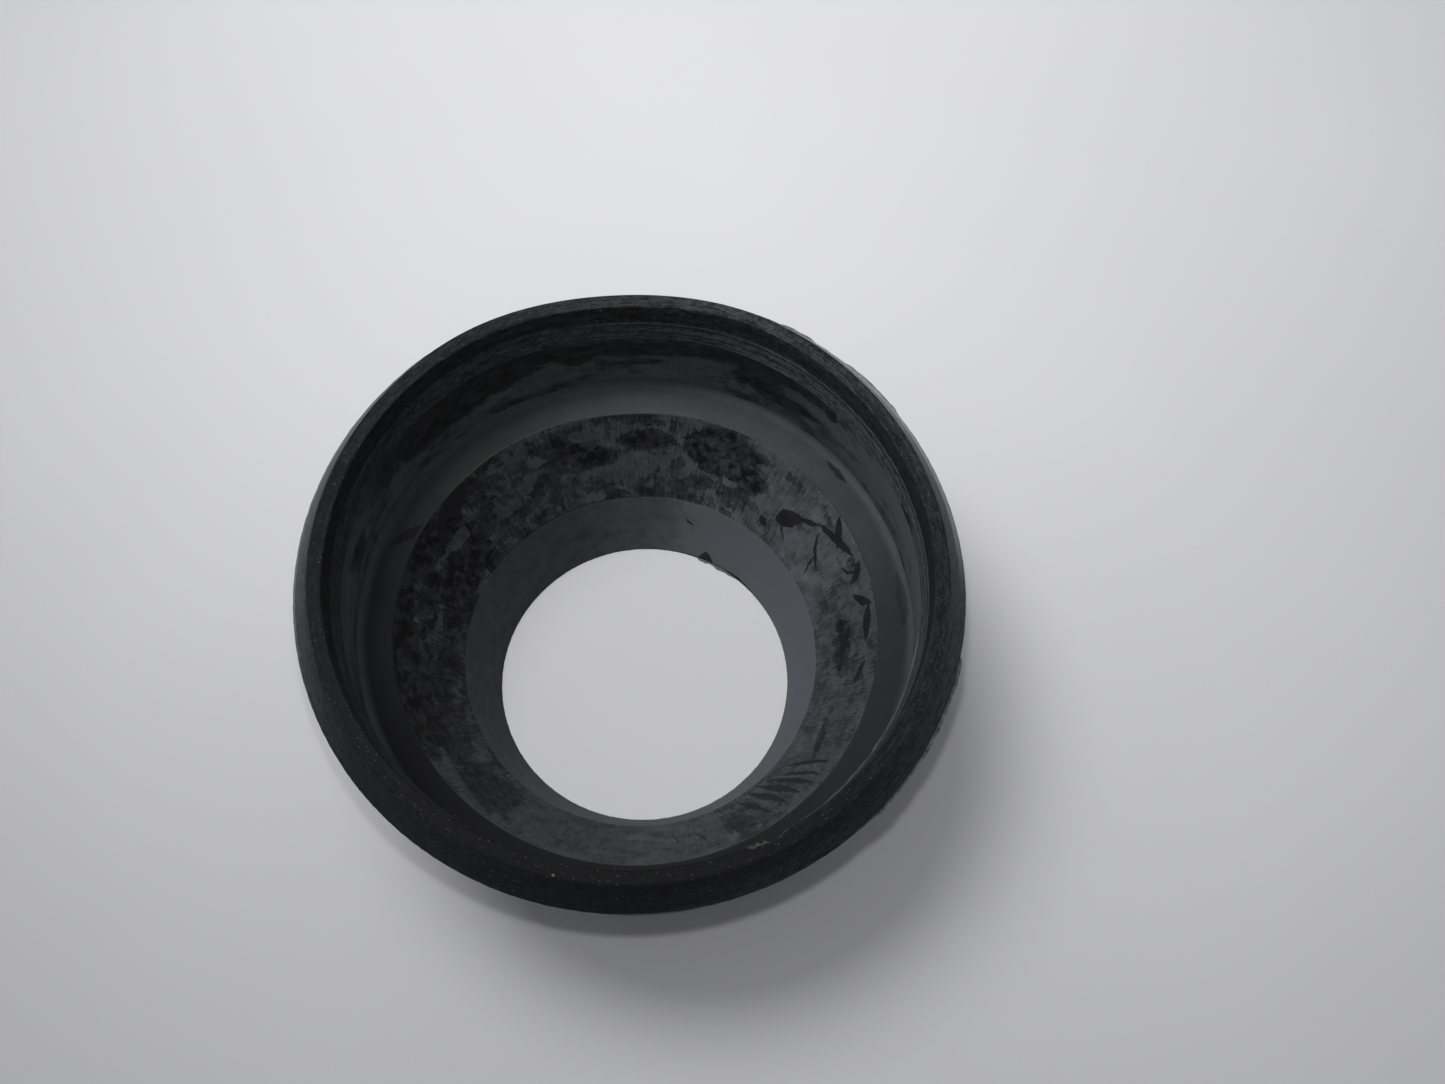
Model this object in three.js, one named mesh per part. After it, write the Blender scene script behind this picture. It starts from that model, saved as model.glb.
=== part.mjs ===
// Rubber adapter ring for a Buchner funnel: one moulding in black rubber.
// It is a solid of revolution about +Z. The wide mouth is at the top, with a
// bevelled rim bead; inside come a slightly undercut wall, a flat seat ledge, a
// conical seat and a steeper tapered throat that opens through the base.
// Millimetres, +Z up, origin at the centre of the base face.
import * as THREE from 'three';

// ---- driving dimensions, mm ----
const HEIGHT = 48.5;              // base face to rim land
const RIM_RADIUS = 47.5;          // widest edge, where the mould halves part
const PARTING_HEIGHT = 43.7;      // height of that edge above the base

const LAND_OUTER_RADIUS = 44.7;   // flat top of the rim
const LAND_INNER_RADIUS = 42.6;
const STEP_RADIUS = 42.2;         // foot of the short drop inside the land
const STEP_DEPTH = 3.4;
const LIP_RADIUS = 41.5;          // narrowest ring of the mouth, which grips
const LIP_DEPTH = 7.5;

const LEDGE_HEIGHT = 24.9;        // flat seat ring inside the cup
const WALL_FOOT_RADIUS = 42.3;    // the wall is undercut below the lip
const WALL_FOOT_FILLET = 1.0;
const SEAT_TOP_RADIUS = 36.95;    // conical seat, then the steeper throat
const SEAT_BOTTOM_RADIUS = 28.0;
const SEAT_BOTTOM_HEIGHT = 12.3;
const THROAT_RADIUS = 23.85;      // through opening at the base

const BEAD_DEPTH = 5.6;           // underside of the rim bead below the parting edge
const SKIRT_TOP_RADIUS = 44.6;    // outside of the thin wall
const SKIRT_FOOT_RADIUS = 43.9;
const SHOULDER_HEIGHT = 22.0;     // underside of the seat ledge
const SHOULDER_FILLET = 1.6;
const SHOULDER_INNER_RADIUS = 39.3;
const NECK_TOP_RADIUS = 30.6;     // outside of the neck
const NECK_TOP_HEIGHT = 9.6;
const BASE_OUTER_RADIUS = 29.4;
const BASE_EDGE_FILLET = 0.5;

const SEGMENTS_AROUND = 96;
const POINTS_PER_CURVE = 3;

// ---- cross-section: x is the radius and y the height, anticlockwise ----
function sectionOutline() {
  const outline = new THREE.Path();

  // base face, then up the neck and under the seat
  outline.moveTo(THROAT_RADIUS, 0);
  outline.lineTo(BASE_OUTER_RADIUS - BASE_EDGE_FILLET, 0);
  outline.quadraticCurveTo(BASE_OUTER_RADIUS, 0, BASE_OUTER_RADIUS, BASE_EDGE_FILLET);
  outline.lineTo(NECK_TOP_RADIUS, NECK_TOP_HEIGHT);
  outline.lineTo(SHOULDER_INNER_RADIUS, SHOULDER_HEIGHT);
  outline.lineTo(SKIRT_FOOT_RADIUS - SHOULDER_FILLET, SHOULDER_HEIGHT);
  outline.quadraticCurveTo(
    SKIRT_FOOT_RADIUS, SHOULDER_HEIGHT,
    SKIRT_FOOT_RADIUS, SHOULDER_HEIGHT + SHOULDER_FILLET,
  );

  // thin skirt, then the bead out to the parting edge
  outline.lineTo(SKIRT_TOP_RADIUS, PARTING_HEIGHT - BEAD_DEPTH);
  outline.quadraticCurveTo(
    RIM_RADIUS, PARTING_HEIGHT - BEAD_DEPTH / 2,
    RIM_RADIUS, PARTING_HEIGHT,
  );

  // outer bevel, flat land, and the two short slopes inside it
  outline.lineTo(LAND_OUTER_RADIUS, HEIGHT);
  outline.lineTo(LAND_INNER_RADIUS, HEIGHT);
  outline.lineTo(STEP_RADIUS, HEIGHT - STEP_DEPTH);
  outline.lineTo(LIP_RADIUS, HEIGHT - LIP_DEPTH);

  // undercut wall down to the ledge, then the two cones of the seat and throat
  outline.lineTo(WALL_FOOT_RADIUS, LEDGE_HEIGHT + WALL_FOOT_FILLET);
  outline.quadraticCurveTo(
    WALL_FOOT_RADIUS, LEDGE_HEIGHT,
    WALL_FOOT_RADIUS - WALL_FOOT_FILLET, LEDGE_HEIGHT,
  );
  outline.lineTo(SEAT_TOP_RADIUS, LEDGE_HEIGHT);
  outline.lineTo(SEAT_BOTTOM_RADIUS, SEAT_BOTTOM_HEIGHT);
  outline.lineTo(THROAT_RADIUS, 0);

  return outline.getPoints(POINTS_PER_CURVE);
}

// ---- the moulding ----
function rubberAdapter() {
  const geometry = new THREE.LatheGeometry(sectionOutline(), SEGMENTS_AROUND);
  geometry.rotateX(Math.PI / 2);
  const material = new THREE.MeshStandardMaterial({
    color: 0x2a2c2f,
    roughness: 0.62,
    metalness: 0,
  });
  const mesh = new THREE.Mesh(geometry, material);
  mesh.name = 'rubber_adapter';
  return mesh;
}

const funnelAdapter = new THREE.Group();
funnelAdapter.add(rubberAdapter());

export default funnelAdapter;
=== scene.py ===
# %% [markdown]
# # A moulded rubber ring, from its frame to its finish
# The object is the black rubber adapter that seals a Buchner funnel on a filter flask: one moulding, with
# a wide lipped mouth, a flat seat ledge, a conical seat and a tapered throat. The CAD model already fixes
# every size. This lesson gives the ring the things that CAD leaves out: flash where the mould parted,
# tool marks, a lip that is nicked, the grey bloom of old rubber, and the scuffs that break through it.

# %% Load the frame
from math import atan2, ceil, cos, degrees, hypot, pi, radians, sin
import bpy
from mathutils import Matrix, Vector, noise


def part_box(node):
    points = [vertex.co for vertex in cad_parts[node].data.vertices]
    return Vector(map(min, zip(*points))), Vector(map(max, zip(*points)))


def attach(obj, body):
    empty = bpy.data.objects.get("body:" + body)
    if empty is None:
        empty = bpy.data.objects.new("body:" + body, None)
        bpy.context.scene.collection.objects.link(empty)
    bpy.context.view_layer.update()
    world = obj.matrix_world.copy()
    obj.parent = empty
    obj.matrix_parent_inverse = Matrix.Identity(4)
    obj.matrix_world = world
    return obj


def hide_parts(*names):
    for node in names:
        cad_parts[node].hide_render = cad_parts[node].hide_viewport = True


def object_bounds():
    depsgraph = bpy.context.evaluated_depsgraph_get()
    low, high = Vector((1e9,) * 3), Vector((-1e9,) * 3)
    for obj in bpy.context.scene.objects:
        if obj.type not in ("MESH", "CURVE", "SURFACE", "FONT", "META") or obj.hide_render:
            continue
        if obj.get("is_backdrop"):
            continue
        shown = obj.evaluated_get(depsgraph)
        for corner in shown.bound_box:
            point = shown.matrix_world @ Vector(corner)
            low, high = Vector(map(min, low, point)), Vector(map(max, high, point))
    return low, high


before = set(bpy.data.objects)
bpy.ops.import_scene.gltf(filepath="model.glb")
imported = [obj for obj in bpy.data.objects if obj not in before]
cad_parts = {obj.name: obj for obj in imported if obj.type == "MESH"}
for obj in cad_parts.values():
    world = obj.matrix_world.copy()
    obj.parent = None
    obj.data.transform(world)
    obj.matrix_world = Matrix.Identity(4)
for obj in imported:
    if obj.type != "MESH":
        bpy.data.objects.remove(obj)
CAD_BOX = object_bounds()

LOW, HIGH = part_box("rubber_adapter")
RIM_RADIUS = HIGH.x                      # widest edge, where the mould parted
TOP = HIGH.z
MM = 0.001
print(f"rim radius {RIM_RADIUS / MM:.1f} mm, height {TOP / MM:.1f} mm")

# %% [markdown]
# ## The section
# A ring is one outline turned about an axis, so the outline is all the shape there is. It could be typed
# in again here, but then two scripts would have to agree. Reading it off the CAD node's own edges, on the
# side where Y is 0 and X is positive, keeps one source for every size.

# %% Read the section off the CAD node
CUT_TOLERANCE = 1e-5


def cut_outline(node):
    """The node's cut on its +X side as (radius, height) corners, from the throat edge outwards."""
    mesh = node.data

    def corner(index):
        place = mesh.vertices[index].co
        on_cut = place.x > 0 and abs(place.y) < CUT_TOLERANCE
        return (round(place.x, 6), round(place.z, 6)) if on_cut else None

    joined = {}
    for edge in mesh.edges:
        a, b = corner(edge.vertices[0]), corner(edge.vertices[1])
        if a and b and a != b:
            joined.setdefault(a, set()).add(b)
            joined.setdefault(b, set()).add(a)
    start = min(joined, key=lambda c: (c[1], c[0]))
    ahead = min(joined[start], key=lambda c: c[1])
    outline = [start]
    while ahead != start:
        outline.append(ahead)
        ahead = next(c for c in joined[ahead] if c != outline[-2])
    return outline


corners = cut_outline(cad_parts["rubber_adapter"])
print(f"the section has {len(corners)} corners")

# %% Name the corners that matter
PARTING = max(range(len(corners)), key=lambda i: corners[i][0])
LAND_OUTER, LAND_INNER = PARTING + 1, PARTING + 2
STEP, LIP, WALL_FOOT = PARTING + 3, PARTING + 4, PARTING + 5
THROAT_EDGE = len(corners)               # the outline closes on its first corner
NECK_TOP, SHOULDER_INNER = 5, 6          # counted from the throat edge, after the foot's rounded corner
SEAT_BOTTOM, SEAT_TOP, LEDGE_OUTER = THROAT_EDGE - 1, THROAT_EDGE - 2, THROAT_EDGE - 3
corners.append(corners[0])


def side_length(side):
    a, b = corners[side], corners[side + 1]
    return hypot(b[0] - a[0], b[1] - a[1])


AT = [sum(side_length(i) for i in range(n)) for n in range(len(corners))]
for name, index in (("parting edge", PARTING), ("lip", LIP), ("seat top", SEAT_TOP)):
    radius, height = corners[index]
    print(f"{name}: radius {radius / MM:.2f}, height {height / MM:.2f}, along {AT[index] / MM:.1f} mm")

# %% [markdown]
# ## Points along the section
# Flash and tool marks need points to move, and the hidden outside doesn't. So each side of the outline is
# divided by a spacing of its own: fine round the mouth, coarser under the skirt. Three edges carry a thin
# fin of flash, so each of them gets two points close beside its tip.

# %% Divide the outline
SPACING = {
    range(0, PARTING - 1): 1.6 * MM,
    range(PARTING - 1, LAND_OUTER): 0.6 * MM,
    range(LAND_OUTER, STEP): 0.4 * MM,
    range(STEP, LIP): 0.28 * MM,
    range(LIP, THROAT_EDGE): 0.62 * MM,
}
FIN_HALF = 0.09 * MM                     # half the thickness of a fin of flash
FINNED = (0, PARTING, LIP, THROAT_EDGE)


def spacing(side):
    return next(step for sides, step in SPACING.items() if side in sides)


def divided_outline():
    """Every point of the section in order, as (radius, height)."""
    points = []
    for side in range(THROAT_EDGE):
        (r0, z0), (r1, z1) = corners[side], corners[side + 1]
        steps = max(1, ceil(side_length(side) / spacing(side)))
        shares = [i / steps for i in range(steps)]
        if side in FINNED:
            shares.insert(1, FIN_HALF / side_length(side))
        if side + 1 in FINNED:
            shares.append(1 - FIN_HALF / side_length(side))
        points += [(r0 + (r1 - r0) * s, z0 + (z1 - z0) * s) for s in shares]
    return points


outline = divided_outline()
print(f"{len(outline)} points round the section")

# %% [markdown]
# ## Draw the section
# By hand this is a vertex that is extruded from point to point, with the loop closed by an edge. The
# moulding's corners aren't knife-sharp, so a vertex bevel rounds them, a little more in the seat than on
# the rim. Last, each point is told how far along the outline it lies. Spin copies that number round the
# ring, and the finish reads it later, because most marks follow the section and not X, Y or Z.

# %% Extrude the outline, round its corners and number its points
ROUNDED = {
    0.22 * MM: (LAND_OUTER, LAND_INNER, STEP),
    0.3 * MM: (SEAT_TOP, SEAT_BOTTOM, NECK_TOP, SHOULDER_INNER),
}
CORNER_SEGMENTS = 3


def deselect_all():
    for thing in bpy.context.selected_objects:
        thing.select_set(False)


def draw_section(points):
    deselect_all()
    radius, height = points[0]
    bpy.ops.mesh.primitive_plane_add(size=MM, location=(radius, 0, height))
    section = bpy.context.object
    bpy.ops.object.transform_apply(location=True, rotation=True, scale=True)
    bpy.ops.object.mode_set(mode="EDIT")
    bpy.ops.mesh.merge(type="CENTER")
    for (r0, z0), (r1, z1) in zip(points, points[1:]):
        bpy.ops.mesh.extrude_region_move(TRANSFORM_OT_translate={"value": (r1 - r0, 0, z1 - z0)})
    bpy.ops.object.mode_set(mode="OBJECT")
    return section


def select_points(thing, wanted):
    """Leaves edit mode with only the points selected whose place passes the test."""
    bpy.ops.object.mode_set(mode="EDIT")
    bpy.ops.mesh.select_all(action="DESELECT")
    bpy.ops.object.mode_set(mode="OBJECT")
    for point in thing.data.vertices:
        point.select = wanted(point.co)


def at_corner(index):
    radius, height = corners[index]
    return lambda place: hypot(place.x - radius, place.z - height) < CUT_TOLERANCE


def close_section(section, points):
    ends = (Vector((points[0][0], 0, points[0][1])), Vector((points[-1][0], 0, points[-1][1])))
    select_points(section, lambda place: min((place - end).length for end in ends) < CUT_TOLERANCE)
    bpy.ops.object.mode_set(mode="EDIT")
    bpy.ops.mesh.edge_face_add()
    bpy.ops.object.mode_set(mode="OBJECT")


def round_corners(section):
    for size, indices in ROUNDED.items():
        tests = [at_corner(i) for i in indices]
        select_points(section, lambda place: any(test(place) for test in tests))
        bpy.ops.object.mode_set(mode="EDIT")
        bpy.ops.mesh.bevel(offset=size, segments=CORNER_SEGMENTS, affect="VERTICES", clamp_overlap=True)
        bpy.ops.object.mode_set(mode="OBJECT")


def distance_along(place):
    """How far along the outline the nearest point to this place is."""
    best = (1.0, 0.0)
    for side in range(THROAT_EDGE):
        a, b = (Vector((r, z)) for r, z in corners[side:side + 2])
        span = b - a
        share = min(1, max(0, (Vector((place.x, place.z)) - a).dot(span) / span.length_squared))
        gap = (a + span * share - Vector((place.x, place.z))).length
        best = min(best, (gap, AT[side] + share * span.length))
    return best[1]


ring = draw_section(outline)
ring.name = ring.data.name = "adapter_ring"
close_section(ring, outline)
round_corners(ring)
along = ring.data.attributes.new("along", "FLOAT", "POINT")
along.data.foreach_set("value", [distance_along(point.co) for point in ring.data.vertices])
print(f"{len(ring.data.vertices)} points after rounding")

# %% [markdown]
# ## Spin the ring
# Spin turns the section through a full circle. A Screw modifier would do as well, but Spin leaves a plain
# mesh at once. Its first and last copies are merged, and the normals are set outwards after that, because
# a spun shape can come out inside out.

# %% Spin, merge and turn the faces outwards
TURN_STEPS = 500                         # 0.6 mm apart at the rim
WELD = 0.01 * MM                         # points nearer than this are one point

bpy.ops.object.mode_set(mode="EDIT")
bpy.ops.mesh.select_all(action="SELECT")
bpy.ops.mesh.spin(steps=TURN_STEPS, angle=2 * pi, center=(0, 0, 0), axis=(0, 0, 1))
bpy.ops.mesh.select_all(action="SELECT")
bpy.ops.mesh.remove_doubles(threshold=WELD)
bpy.ops.mesh.normals_make_consistent(inside=False)
bpy.ops.object.mode_set(mode="OBJECT")
print(f"{len(ring.data.vertices)} points, {len(ring.data.polygons)} faces")

# %% [markdown]
# ## What hands and the mould did to it
# A turned ring is too perfect. The real one is soft, so its mouth isn't quite round. Flash stands at the
# parting edge and at the throat where the mould leaked, the lip has a nick with a torn tag beside it, and
# the turned mould left fine rings inside the mouth. Sculpting by hand would do it, but each of these is a
# simple function of the angle round the ring and the distance along the section, so the points are moved
# by those functions. Angles are degrees round +Z from +X.

# %% Helpers for places on the ring
WAVE_SCALE = 57.3                        # a ripple of size 1 is about a degree long
SEED_STEP = 7.3                          # how far apart two seeds read the noise


def around(place):
    """The angle of a place, in degrees round +Z from +X."""
    return degrees(atan2(place.y, place.x)) % 360


def apart(a, b):
    """Degrees from b to a, between -180 and 180."""
    return (a - b + 180) % 360 - 180


def ease(value, low, high):
    """0 below low, 1 above high, and a smooth climb between them."""
    share = min(1, max(0, (value - low) / (high - low)))
    return share * share * (3 - 2 * share)


def stretch(angle, start, end, soft=1.0):
    """1 from start to end going anticlockwise, 0 elsewhere, with soft ends in degrees."""
    middle, half = (start + end) / 2, (end - start) / 2
    return 1 - ease(abs(apart(angle, middle)), half - soft / 2, half + soft / 2)


def ripple(angle, size, seed):
    """Smooth noise round the ring, between about -1 and 1. Size is the wave in degrees."""
    turns = radians(angle)
    scale = WAVE_SCALE / size
    return noise.noise(Vector((cos(turns) * scale, sin(turns) * scale, seed * SEED_STEP)))


print(f"the section was cut at {around(Vector((corners[PARTING][0], 0, 0))):.0f} degrees")


# %% The mouth isn't round
OVAL, OVAL_AT = 0.008, 315               # share of the rim radius, and the angle it stands out at most
LEAN, LEAN_AT = 0.0034, 167
TAKE_UP = -0.004                         # makes the rest of the rim a little wider
DENT, DENT_AT, DENT_REACH = 0.9 * MM, 97, 34   # the mouth is pressed in at its far side


def mouth_shape(angle, height):
    """How far the soft mouth stands out from a true circle."""
    swell = OVAL * cos(2 * radians(apart(angle, OVAL_AT))) + LEAN * cos(radians(apart(angle, LEAN_AT)))
    dent = DENT * (1 - ease(abs(apart(angle, DENT_AT)), 0, DENT_REACH))
    return ((swell - TAKE_UP) * RIM_RADIUS - dent) * ease(height, 0, TOP)


for angle in (0, 90, 180, 270):
    print(f"mouth at {angle}: {mouth_shape(angle, TOP) / MM:+.2f} mm from a true circle")

# %% Flash where the mould leaked
PARTING_LEAKS = ((0.45, 314, 346.5), (0.3, 57, 63.5), (0.3, 36, 49))   # mm, from angle, to angle


def parting_flash(angle):
    leak = sum(size * stretch(angle, start, end) for size, start, end in PARTING_LEAKS)
    return (0.05 + leak * (0.85 + 0.4 * ripple(angle, 1.5, 1)) + 0.06 * ripple(angle, 1.0, 2)) * MM


def throat_flash(angle):
    leak = 0.28 * stretch(angle, 52, 70) * (1 + 1.4 * ripple(angle, 2.2, 3))
    return (0.05 + max(0, leak) + 0.05 * ripple(angle, 1.6, 4)) * MM


def lip_flash(angle):
    thin = 0.16 * max(stretch(angle, 302, 356), stretch(angle, 250, 293))
    tag = 0.9 * stretch(angle, 293.6, 298.4, 0.8) * (1 + 0.5 * ripple(angle, 0.8, 5))
    return (thin * (1 + 0.8 * ripple(angle, 3, 6)) + tag) * MM


for title, flash in (("parting edge", parting_flash), ("throat", throat_flash), ("lip", lip_flash)):
    print(f"longest flash at the {title}: {max(flash(angle) for angle in range(360)) / MM:.2f} mm")

# %% The nick, the tool marks and the slow swells
NICK_DEPTH = 0.55 * MM
TOOL_MARK = 0.03 * MM                    # half the depth of a tool mark
TOOL_PITCH = 0.56 * MM                   # from one turned ring to the next
TOOL_LOT = 1.1 * MM                      # rings this near each other fade in and out together
SWELLS = ((0.09 * MM, 140), (0.03 * MM, 420))   # height, and how many to a metre


def nick(angle, along):
    """The piece missing from the lip, with soft ends along the section."""
    inside = ease(along, AT[LAND_INNER] - 0.9 * MM, AT[LAND_INNER]) * (1 - ease(along, AT[LIP], AT[LIP] + MM))
    return NICK_DEPTH * stretch(angle, 293.8, 301.2, 0.9) * inside * (1 + 0.6 * ripple(angle, 1, 7))


def tool_mark(along, angle):
    if not AT[STEP] < along < AT[LIP] - 0.3 * MM:
        return 0
    wave = sin(2 * pi * (along - AT[STEP]) / TOOL_PITCH + 0.8)
    return TOOL_MARK * wave * (0.8 + 0.7 * ripple(angle, 14, 8 + int((along - AT[STEP]) / TOOL_LOT)))


def unevenness(place, along):
    """Slow swells on the wall, ledge, seat and throat, where the rubber isn't true."""
    if along < AT[LIP] + MM:
        return 0
    return sum(height * noise.noise(place * per_metre) for height, per_metre in SWELLS)


print(f"tool marks {2 * TOOL_MARK / MM:.2f} mm deep, {TOOL_PITCH / MM:.2f} mm apart")

# %% Move the points
THROAT_SHIFT = Vector((0.5, -0.35, 0)) * MM   # as if the core of the mould sat off the middle
DROOP = 0.4                              # how far a lip fin hangs, as a share of its length
FOOT_LIFT = 0.06 * MM                    # keeps the throat's flash off the table


def shaped(place, along, normal):
    angle = around(place)
    outward = Vector((place.x, place.y, 0)).normalized()
    move = outward * mouth_shape(angle, place.z)
    move += THROAT_SHIFT * (1 - ease(place.z, 0, corners[SEAT_TOP][1]))
    move += outward * nick(angle, along)
    move += normal * (tool_mark(along, angle) + unevenness(place, along))
    if abs(along - AT[PARTING]) < CUT_TOLERANCE:
        move += outward * parting_flash(angle)
    if abs(along - AT[LIP]) < CUT_TOLERANCE:
        fin = lip_flash(angle)
        move -= outward * fin + Vector((0, 0, DROOP * fin))
    if min(along, AT[THROAT_EDGE] - along) < CUT_TOLERANCE:
        move += Vector((0, 0, FOOT_LIFT)) - outward * throat_flash(angle)
    return place + move


mesh = ring.data
places = [point.co.copy() for point in mesh.vertices]
normals = [point.normal.copy() for point in mesh.vertices]
stations = [value.value for value in mesh.attributes["along"].data]
for point, place, normal, station in zip(mesh.vertices, places, normals, stations):
    point.co = shaped(place, station, normal)
mesh.update()
bpy.context.view_layer.update()
print(f"mouth after shaping: {ring.dimensions.x / MM:.2f} by {ring.dimensions.y / MM:.2f} mm")

# %% [markdown]
# ## Where the bloom is missing
# Old black rubber sweats out a thin grey film, the bloom. A finger, a funnel or a cloth takes it off, and
# then the black shows. No noise would put those marks where they belong, so they are listed one by one, in
# two ways. The soft ones are smudges, kept here: each is an oval on the unrolled surface, with a middle
# (angle, share of its band), a half-length round the ring and a half-width along the section in millimetres,
# a tilt, and a strength. A strength below 0 is fresh film. The finish frays their edges later. The sharp ones
# are finer than the mesh, so they are drawn by the shader, further on.

# %% Bands of the section, and the listed smudges
BANDS = {
    "outside": (0, PARTING), "chamfer": (PARTING, LAND_OUTER), "land": (LAND_OUTER, LAND_INNER),
    "step": (LAND_INNER, STEP), "bevel": (STEP, LIP), "wall": (LIP, WALL_FOOT),
    "foot": (WALL_FOOT, LEDGE_OUTER), "ledge": (LEDGE_OUTER, SEAT_TOP), "seat": (SEAT_TOP, SEAT_BOTTOM),
    "throat": (SEAT_BOTTOM, THROAT_EDGE),
}
SMUDGES = {  # angle, share of the band, half-length mm, half-width mm, tilt, strength
    "bevel": [(17.5, 0.95, 2.4, 0.6, 16, 0.9)],
    "wall": [
        (130, 0.25, 13.0, 4.6, 3, 0.9), (105.5, 0.3, 2.2, 2.6, 0, 0.8), (93, 0.2, 12.0, 2.0, -3, 0.8),
        (91, 0.52, 4.6, 0.7, 8, 0.6), (68.5, 0.45, 1.2, 2.6, 0, 0.7), (63.5, 0.42, 3.0, 3.0, 10, 0.7),
        (57.0, 0.58, 5.0, 1.6, 14, 0.75), (170, 0.45, 2.6, 3.4, 0, 0.5), (154.5, 0.2, 1.4, 3.4, 0, 0.6),
        (45.5, 0.2, 1.0, 2.8, 0, 0.6), (60, 0.1, 16.0, 2.0, 0, 0.5),
    ],
    "seat": [
        (0, 0.55, 4.5, 1.6, 0, 0.7), (57, 0.45, 1.7, 1.9, 0, 0.8), (30, 0.12, 9.0, 1.2, 0, 0.25),
        (331, 0.52, 4.2, 0.7, 22, 0.75), (299.6, 0.35, 1.6, 4.4, 0, 0.4),
        (230, 0.45, 4.4, 4.6, -40, 0.75), (192, 0.12, 12.0, 2.4, 4, 1.3),
        (200, 0.3, 9.0, 2.0, 8, 0.8), (158, 0.16, 5.6, 2.2, -16, 1.3), (165.6, 0.5, 1.1, 4.0, 0, 1.0),
        (156, 0.65, 5.0, 2.8, 0, 0.8), (109, 0.4, 6.5, 1.6, -25, 0.9), (90, 0.3, 4.0, 1.4, 0, 0.7),
        (69, 0.32, 5.2, 3.4, 0, 0.8), (108.5, 0.2, 1.6, 0.9, 0, -1.0), (97, 0.62, 4.6, 1.8, 8, -0.8),
        (226, 0.14, 8.5, 0.9, -14, -0.9), (152.5, 0.42, 2.0, 1.5, 0, -0.8),
    ],
}
print({band: len(marks) for band, marks in SMUDGES.items()})

# %% [markdown]
# ## How worn each band is, and how pale with chalk and painted light
# Between the marks the film isn't even either. Two tables give its state round each band, and it eases from
# one angle to the next. One says how near the film is to breaking up. The other says how pale it is where it
# lasts, at the band's start and at its end. That paleness is partly the film's chalk and partly painted light
# and shade, so the sides the light falls on, and the chamfer where it is seen at a low angle, come out paler.
# Both numbers are then kept on every point of the mesh, where the finish reads them.

# %% Wear, and chalk with painted light, round each band
WORN = {  # angle, how near the film is to breaking up
    "outside": [(0, 0.2), (90, 0.26), (180, 0.3), (270, 0.24)],
    "chamfer": [(0, 0.2), (180, 0.22)],
    "land": [(0, 0.42), (90, 0.4), (180, 0.46), (270, 0.56)],
    "step": [(0, 0.42), (180, 0.6)],
    "bevel": [(0, 0.22), (180, 0.34)],
    "wall": [(0, 0.12), (60, 0.3), (140, 0.3), (200, 0.2)],
    "foot": [(0, 0.1)],
    "ledge": [(0, 0.08)],
    "seat": [
        (0, 0.3), (15, 0.2), (35, 0.16), (52, 0.28), (62, 0.5), (80, 0.52), (100, 0.46), (120, 0.5),
        (140, 0.56), (168, 0.62), (205, 0.6), (235, 0.46), (242, 0.04), (295.4, 0.02), (295.9, 0.44),
        (301, 0.32), (325, 0.24),
    ],
    "throat": [(0, 0.08)],
}
# Paleness here is partly chalk and partly painted light and shade: the wall and the throat are painted paler
# on the side the light falls on, and the chamfer is painted paler where it is seen at a low angle.
CHALK_AND_LIGHT = {  # angle, how pale at the band's start, how pale at its end
    "outside": [(0, 1.2, 1.0), (90, 0.9, 1.1), (180, 1.3, 1.0), (270, 1.0, 1.2)],
    "chamfer": [
        (0, 0.5, 0.35), (30, 0.3, 0.12), (60, 0.2, 0.1), (90, 0.34, 0.24), (150, 0.26, 0.1), (180, 0.8, 0.3),
        (225, 0.14, 0.1), (270, 0.06, 0.03), (300, 0.22, 0.06),
    ],
    "land": [
        (0, 0.14, 0.1), (30, 0.24, 0.2), (70, 0.42, 0.36), (95, 0.28, 0.24), (120, 0.14, 0.12),
        (180, 0.08, 0.08), (270, 0.02, 0.02),
    ],
    "step": [(0, 0.14, 0.12), (60, 0.3, 0.24), (110, 0.26, 0.2), (180, 0.12, 0.1), (270, 0.04, 0.04)],
    "bevel": [(0, 0.6, 0.6), (60, 0.7, 0.7), (90, 0.45, 0.45), (180, 0.3, 0.25), (270, 0.2, 0.2)],
    "wall": [
        (0, 1.6, 1.4), (30, 1.5, 1.8), (60, 0.5, 1.4), (90, 0.45, 1.4), (150, 0.35, 1.1), (180, 0.75, 1.1),
        (215, 0.5, 0.6), (330, 0.9, 0.6),
    ],
    "foot": [
        (0, 0.9, 0.25), (30, 1.2, 0.5), (90, 0.9, 0.7), (150, 0.7, 0.35), (180, 0.9, 0.25), (330, 0.5, 0.3),
    ],
    "ledge": [
        (0, 0.18, 0.2), (30, 0.38, 0.4), (60, 0.56, 0.54), (90, 0.74, 0.7), (130, 0.42, 0.38),
        (180, 0.1, 0.1), (215, 0, 0), (300, 0.08, 0.08), (330, 0.16, 0.16),
    ],
    "seat": [
        (0, 0.5, 0.56), (30, 0.78, 0.8), (60, 0.62, 0.74), (90, 0.4, 0.48), (180, 0.32, 0.4), (240, 0.5, 0.5),
        (290, 0.58, 0.62),
    ],
    "throat": [
        (0, 1.7, 1.8), (60, 1.8, 1.9), (90, 0.8, 0.85), (120, 0.5, 0.5), (200, 0.55, 0.5), (270, 1.05, 1.1),
        (330, 1.35, 1.4),
    ],
}
for title, table in (("wear", WORN), ("chalk_and_light", CHALK_AND_LIGHT)):
    print(f"{title}: {sum(len(rows) for rows in table.values())} levels in {len(table)} bands")

# %% Read the tables and the smudges at a place
SMUDGE_REACH = 30                        # no smudge is longer than this many degrees either way


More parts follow.
